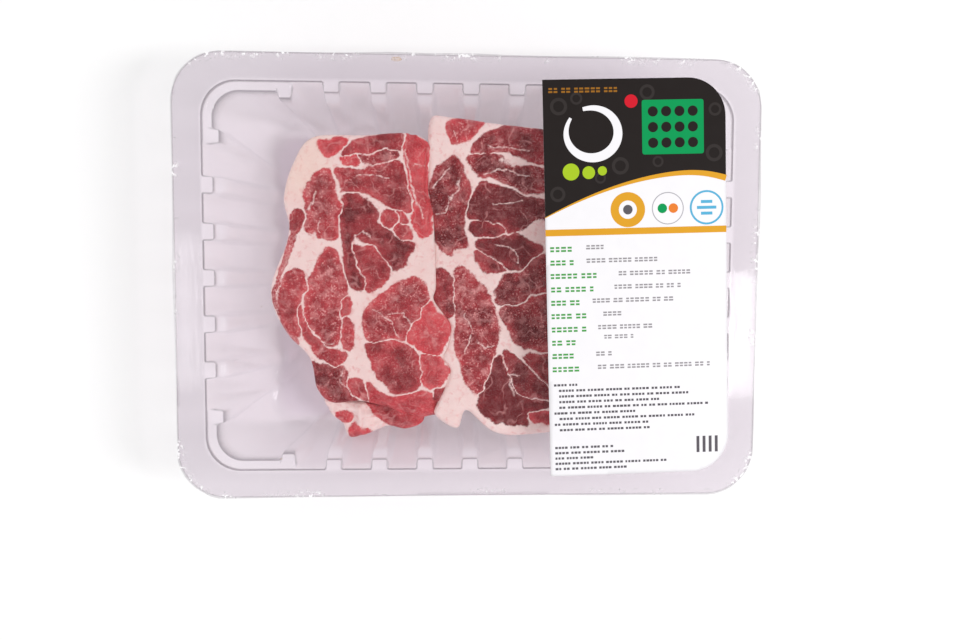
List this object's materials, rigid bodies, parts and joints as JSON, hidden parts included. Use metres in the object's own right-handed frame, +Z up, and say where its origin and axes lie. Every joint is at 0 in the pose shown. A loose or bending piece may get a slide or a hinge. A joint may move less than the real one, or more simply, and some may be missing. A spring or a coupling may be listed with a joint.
{
  "type": "meat tray pack",
  "caption": "Clear ribbed plastic tray of raw marbled pork slices, sealed with a clear lid film that carries a large printed label at one end.",
  "frame": {"origin": "centre of the tray's bounding box at its flat underside", "axes": "+X along the long side, towards the label's end; +Y along the short side; +Z up, out of the lid film"},
  "size_m": [0.23, 0.1736, 0.0435],
  "materials": {
    "tray_plastic": "clear, smooth, slightly grey-lilac",
    "film": "clear, tight, glossy",
    "label_paper": "white with charcoal, gold and green print, satin",
    "pork": "raw red meat with white fat, moist"
  },
  "bodies": {
    "root": {"tray": "tray_plastic", "lid_film": "film", "label": "label_paper", "slice_left": "pork", "slice_right": "pork", "slice_lower": "pork"}
  },
  "joints": []
}
